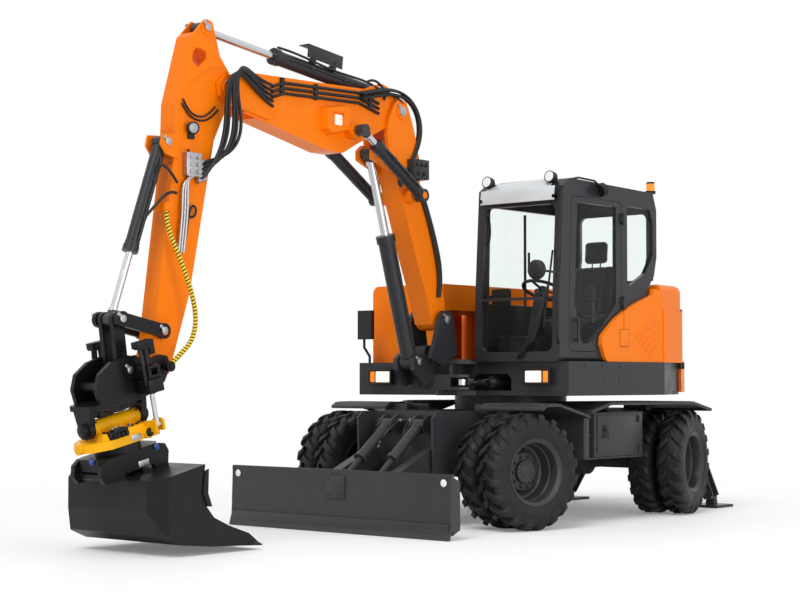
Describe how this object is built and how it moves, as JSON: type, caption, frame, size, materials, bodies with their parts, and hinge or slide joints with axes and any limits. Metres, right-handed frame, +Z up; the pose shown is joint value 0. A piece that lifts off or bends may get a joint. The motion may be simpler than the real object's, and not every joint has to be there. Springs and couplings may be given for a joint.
{
  "type": "wheeled excavator",
  "caption": "Wheeled excavator with a two-piece swinging boom, arm, tilting and turning bucket, front dozer blade, rear stabiliser legs and steered twin-tyre axles.",
  "frame": {"origin": "on the ground under the middle of the whole machine as it stands in the picture", "axes": "+X points ahead, the way the boom, arm and blade point, +Y to the machine's left, where the cab is, and +Z up"},
  "size_m": [7.4098, 2.6334, 4],
  "materials": {
    "dark_paint": "semi-gloss",
    "orange_paint": "gloss",
    "chrome": "polished",
    "glass": "clear",
    "seat_fabric": "woven",
    "yellow_paint": "gloss",
    "black_paint": "satin",
    "cast_iron": "rough",
    "tyre": "matte",
    "yellow_hose": "gloss",
    "black_rubber": "satin",
    "black_plastic": "matte"
  },
  "bodies": {
    "chassis": {"chassis_frame": "dark_paint", "axles": "dark_paint", "fenders": "dark_paint"},
    "knuckle_front_left": {"knuckle_front_left": "dark_paint"},
    "knuckle_front_right": {"knuckle_front_right": "dark_paint"},
    "knuckle_rear_left": {"knuckle_rear_left": "dark_paint"},
    "knuckle_rear_right": {"knuckle_rear_right": "dark_paint"},
    "wheel_front_left": {"rim_front_left": "dark_paint", "tyre_front_left": "tyre"},
    "wheel_front_right": {"rim_front_right": "dark_paint", "tyre_front_right": "tyre"},
    "wheel_rear_left": {"rim_rear_left": "dark_paint", "tyre_rear_left": "tyre"},
    "wheel_rear_right": {"rim_rear_right": "dark_paint", "tyre_rear_right": "tyre"},
    "blade": {"blade": "dark_paint"},
    "blade_barrels": {"blade_barrels": "dark_paint"},
    "blade_rods": {"blade_rods": "chrome"},
    "leg_left": {"leg_left": "dark_paint"},
    "leg_right": {"leg_right": "dark_paint"},
    "leg_barrel_left": {"leg_barrel_left": "dark_paint"},
    "leg_barrel_right": {"leg_barrel_right": "dark_paint"},
    "leg_rod_left": {"leg_rod_left": "chrome"},
    "leg_rod_right": {"leg_rod_right": "chrome"},
    "upper": {"upper_frame": "dark_paint", "counterweight": "orange_paint", "hood": "orange_paint", "engine_block": "cast_iron", "cab_frame": "dark_paint", "cab_glass": "glass", "seat": "seat_fabric", "cab_fittings": "black_plastic"},
    "cab_door": {"cab_door": "dark_paint", "door_glass": "glass"},
    "kingpost": {"kingpost": "dark_paint"},
    "swing_barrel": {"swing_barrel": "dark_paint"},
    "swing_rod": {"swing_rod": "chrome"},
    "boom_lower": {"boom_lower": "orange_paint"},
    "lift_barrel": {"lift_barrel": "dark_paint"},
    "lift_rod": {"lift_rod": "chrome"},
    "boom_upper": {"boom_upper": "orange_paint", "boom_hoses": "black_rubber"},
    "adjust_barrels": {"adjust_barrels": "dark_paint"},
    "adjust_rods": {"adjust_rods": "chrome"},
    "arm": {"arm": "orange_paint", "hose_bundle": "yellow_hose"},
    "arm_barrel": {"arm_barrel": "dark_paint"},
    "arm_rod": {"arm_rod": "chrome"},
    "bucket_barrel": {"bucket_barrel": "dark_paint"},
    "bucket_rod": {"bucket_rod": "chrome"},
    "side_links": {"side_links": "black_paint"},
    "h_link": {"h_link": "black_paint"},
    "coupler": {"coupler": "black_paint"},
    "tilt_head": {"tilt_head": "yellow_paint"},
    "tilt_barrel_left": {"tilt_barrel_left": "dark_paint"},
    "tilt_barrel_right": {"tilt_barrel_right": "dark_paint"},
    "tilt_rod_left": {"tilt_rod_left": "chrome"},
    "tilt_rod_right": {"tilt_rod_right": "chrome"},
    "bucket": {"hitch": "black_paint", "bucket": "black_paint"}
  },
  "joints": [
    {"name": "steer_front_left", "type": "hinge", "parent": "chassis", "child": "knuckle_front_left", "pos_m": [-0.22, 0.75, 0.487], "axis": [0, 0, 1], "range_deg": [-17, 43]},
    {"name": "spin_front_left", "type": "hinge", "parent": "knuckle_front_left", "child": "wheel_front_left", "pos_m": [-0.17051, 0.96436, 0.487], "axis": [0.225, 0.9744, 0], "continuous": true},
    {"name": "steer_front_right", "type": "hinge", "parent": "chassis", "child": "knuckle_front_right", "pos_m": [-0.22, -0.75, 0.487], "axis": [0, 0, 1], "range_deg": [-17, 43]},
    {"name": "spin_front_right", "type": "hinge", "parent": "knuckle_front_right", "child": "wheel_front_right", "pos_m": [-0.26949, -0.96436, 0.487], "axis": [0.225, 0.9744, 0], "continuous": true},
    {"name": "steer_rear_left", "type": "hinge", "parent": "chassis", "child": "knuckle_rear_left", "pos_m": [-2.52, 0.75, 0.487], "axis": [0, 0, 1], "range_deg": [-43, 17]},
    {"name": "spin_rear_left", "type": "hinge", "parent": "knuckle_rear_left", "child": "wheel_rear_left", "pos_m": [-2.56949, 0.96436, 0.487], "axis": [-0.225, 0.9744, 0], "continuous": true},
    {"name": "steer_rear_right", "type": "hinge", "parent": "chassis", "child": "knuckle_rear_right", "pos_m": [-2.52, -0.75, 0.487], "axis": [0, 0, 1], "range_deg": [-43, 17]},
    {"name": "spin_rear_right", "type": "hinge", "parent": "knuckle_rear_right", "child": "wheel_rear_right", "pos_m": [-2.47051, -0.96436, 0.487], "axis": [-0.225, 0.9744, 0], "continuous": true},
    {"name": "blade_lift", "type": "hinge", "parent": "chassis", "child": "blade", "pos_m": [0.2, 0, 0.6], "axis": [0, -1, 0], "range_deg": [-8, 25]},
    {"name": "blade_cylinder_barrel", "type": "hinge", "parent": "chassis", "child": "blade_barrels", "pos_m": [0.16, 0, 0.87], "axis": [0, -1, 0], "range_deg": [-7.1, 20.07]},
    {"name": "blade_cylinder_rod", "type": "slide", "parent": "blade_barrels", "child": "blade_rods", "axis": [0.7872, 0, -0.6167], "range_m": [-0.0934, 0.0312]},
    {"name": "leg_left", "type": "hinge", "parent": "chassis", "child": "leg_left", "pos_m": [-3.53, 0.3, 0.7], "axis": [1, 0, 0], "range_deg": [-8, 60]},
    {"name": "leg_cylinder_left_barrel", "type": "hinge", "parent": "chassis", "child": "leg_barrel_left", "pos_m": [-3.53, 0.12, 0.9], "axis": [1, 0, 0], "range_deg": [-5.69, 36.15]},
    {"name": "leg_cylinder_left_rod", "type": "slide", "parent": "leg_barrel_left", "child": "leg_rod_left", "axis": [0, 0.8944, -0.4472], "range_m": [-0.1602, 0.0231]},
    {"name": "leg_right", "type": "hinge", "parent": "chassis", "child": "leg_right", "pos_m": [-3.53, -0.3, 0.7], "axis": [-1, 0, 0], "range_deg": [-8, 60]},
    {"name": "leg_cylinder_right_barrel", "type": "hinge", "parent": "chassis", "child": "leg_barrel_right", "pos_m": [-3.53, -0.12, 0.9], "axis": [-1, 0, 0], "range_deg": [-5.69, 36.15]},
    {"name": "leg_cylinder_right_rod", "type": "slide", "parent": "leg_barrel_right", "child": "leg_rod_right", "axis": [0, -0.8944, -0.4472], "range_m": [-0.1602, 0.0231]},
    {"name": "slew", "type": "hinge", "parent": "chassis", "child": "upper", "pos_m": [-1.37, 0, 1.1], "axis": [0, 0, 1], "continuous": true},
    {"name": "cab_door", "type": "hinge", "parent": "upper", "child": "cab_door", "pos_m": [-1.515, 1.168, 2.2], "axis": [0, 0, 1], "range_deg": [0, 150]},
    {"name": "boom_swing", "type": "hinge", "parent": "upper", "child": "kingpost", "pos_m": [-0.44, 0, 1.3], "axis": [0, 0, 1], "range_deg": [-45, 45]},
    {"name": "swing_cylinder_barrel", "type": "hinge", "parent": "upper", "child": "swing_barrel", "pos_m": [-1.29, 0.43, 1.235], "axis": [0, 0, 1], "range_deg": [-5.84, 5.84]},
    {"name": "swing_cylinder_rod", "type": "slide", "parent": "swing_barrel", "child": "swing_rod", "axis": [0.992, -0.1264, 0], "range_m": [-0.2414, 0.2414]},
    {"name": "boom_lift", "type": "hinge", "parent": "kingpost", "child": "boom_lower", "pos_m": [-0.205, 0, 1.778], "axis": [0, -1, 0], "range_deg": [-68, 17]},
    {"name": "lift_cylinder_barrel", "type": "hinge", "parent": "kingpost", "child": "lift_barrel", "pos_m": [0.08, 0, 1.41], "axis": [0, -1, 0], "range_deg": [-65.48, 17.12]},
    {"name": "lift_cylinder_rod", "type": "slide", "parent": "lift_barrel", "child": "lift_rod", "axis": [0.2883, 0, 0.9575], "range_m": [-0.5196, 0.1314]},
    {"name": "boom_adjust", "type": "hinge", "parent": "boom_lower", "child": "boom_upper", "pos_m": [0.347, 0, 3.55], "axis": [0, -1, 0], "range_deg": [-9.5, 56]},
    {"name": "adjust_cylinder_barrel", "type": "hinge", "parent": "boom_lower", "child": "adjust_barrels", "pos_m": [0.232, 0, 2.832], "axis": [0, -1, 0], "range_deg": [-5.48, 27.4]},
    {"name": "adjust_cylinder_rod", "type": "slide", "parent": "adjust_barrels", "child": "adjust_rods", "axis": [0.8441, 0, 0.5362], "range_m": [-0.0766, 0.442]},
    {"name": "arm_crowd", "type": "hinge", "parent": "boom_upper", "child": "arm", "pos_m": [2.37, 0, 3.49], "axis": [0, 1, 0], "range_deg": [-77, 21]},
    {"name": "arm_cylinder_barrel", "type": "hinge", "parent": "boom_upper", "child": "arm_barrel", "pos_m": [0.565, 0, 3.697], "axis": [0, 1, 0], "range_deg": [-1.51, 1.14]},
    {"name": "arm_cylinder_rod", "type": "slide", "parent": "arm_barrel", "child": "arm_rod", "axis": [0.9928, 0, 0.1196], "range_m": [-0.6195, 0.1704]},
    {"name": "bucket_curl", "type": "hinge", "parent": "arm", "child": "coupler", "pos_m": [3.041, 0, 1.353], "axis": [0, 1, 0], "range_deg": [-60, 80]},
    {"name": "side_link_turn", "type": "hinge", "parent": "arm", "child": "side_links", "pos_m": [3.025, 0, 1.613], "axis": [0, 1, 0], "range_deg": [-49.81, 66.08]},
    {"name": "h_link_turn", "type": "hinge", "parent": "side_links", "child": "h_link", "pos_m": [3.42, 0, 1.69], "axis": [0, 1, 0], "range_deg": [-40.69, 30.76]},
    {"name": "bucket_cylinder_barrel", "type": "hinge", "parent": "arm", "child": "bucket_barrel", "pos_m": [2.955, 0, 3.022], "axis": [0, 1, 0], "range_deg": [-3.52, 4.35]},
    {"name": "bucket_cylinder_rod", "type": "slide", "parent": "bucket_barrel", "child": "bucket_rod", "axis": [0.3296, 0, -0.9441], "range_m": [-0.3049, 0.4059]},
    {"name": "tilt", "type": "hinge", "parent": "coupler", "child": "tilt_head", "pos_m": [3.387, 0, 0.95], "axis": [0.9744, 0, -0.225], "range_deg": [-40, 40]},
    {"name": "tilt_cylinder_left_barrel", "type": "hinge", "parent": "coupler", "child": "tilt_barrel_left", "pos_m": [3.26636, 0.235, 1.31653], "axis": [0.9744, 0, -0.225], "range_deg": [-5.21, 5.21]},
    {"name": "tilt_cylinder_left_rod", "type": "slide", "parent": "tilt_barrel_left", "child": "tilt_rod_left", "axis": [-0.225, 0, -0.9744], "range_m": [-0.1605, 0.1605]},
    {"name": "tilt_cylinder_right_barrel", "type": "hinge", "parent": "coupler", "child": "tilt_barrel_right", "pos_m": [3.26636, -0.235, 1.31653], "axis": [0.9744, 0, -0.225], "range_deg": [-5.21, 5.21]},
    {"name": "tilt_cylinder_right_rod", "type": "slide", "parent": "tilt_barrel_right", "child": "tilt_rod_right", "axis": [-0.225, 0, -0.9744], "range_m": [-0.1605, 0.1605]},
    {"name": "bucket_turn", "type": "hinge", "parent": "tilt_head", "child": "bucket", "pos_m": [3.35101, 0, 0.7941], "axis": [0.225, 0, 0.9744], "continuous": true}
  ],
  "couplings": [
    {"joint": "steer_front_right", "follows": "steer_front_left", "ratio": 1},
    {"joint": "steer_rear_right", "follows": "steer_rear_left", "ratio": 1},
    {"joint": "blade_cylinder_barrel", "follows": "blade_lift", "ratio": 0.76293},
    {"joint": "blade_cylinder_rod", "follows": "blade_lift", "m_per_rad": -0.20943},
    {"joint": "leg_cylinder_left_barrel", "follows": "leg_left", "ratio": 0.58591},
    {"joint": "leg_cylinder_left_rod", "follows": "leg_left", "m_per_rad": -0.15107},
    {"joint": "leg_cylinder_right_barrel", "follows": "leg_right", "ratio": 0.58591},
    {"joint": "leg_cylinder_right_rod", "follows": "leg_right", "m_per_rad": -0.15107},
    {"joint": "swing_cylinder_barrel", "follows": "boom_swing", "ratio": 0.10745},
    {"joint": "swing_cylinder_rod", "follows": "boom_swing", "m_per_rad": -0.30487},
    {"joint": "lift_cylinder_barrel", "follows": "boom_lift", "ratio": 0.94823},
    {"joint": "lift_cylinder_rod", "follows": "boom_lift", "m_per_rad": 0.43611},
    {"joint": "adjust_cylinder_barrel", "follows": "boom_adjust", "ratio": 0.47151},
    {"joint": "adjust_cylinder_rod", "follows": "boom_adjust", "m_per_rad": 0.45022},
    {"joint": "arm_cylinder_barrel", "follows": "arm_crowd", "ratio": 0.00659},
    {"joint": "arm_cylinder_rod", "follows": "arm_crowd", "m_per_rad": 0.45945},
    {"joint": "side_link_turn", "follows": "bucket_curl", "ratio": 0.81347},
    {"joint": "h_link_turn", "follows": "bucket_curl", "ratio": -0.49607},
    {"joint": "bucket_cylinder_barrel", "follows": "bucket_curl", "ratio": 0.04192},
    {"joint": "bucket_cylinder_rod", "follows": "bucket_curl", "m_per_rad": 0.28929},
    {"joint": "tilt_cylinder_left_barrel", "follows": "tilt", "ratio": 0.1052},
    {"joint": "tilt_cylinder_left_rod", "follows": "tilt", "m_per_rad": -0.22698},
    {"joint": "tilt_cylinder_right_barrel", "follows": "tilt", "ratio": 0.1052},
    {"joint": "tilt_cylinder_right_rod", "follows": "tilt", "m_per_rad": 0.22698}
  ]
}
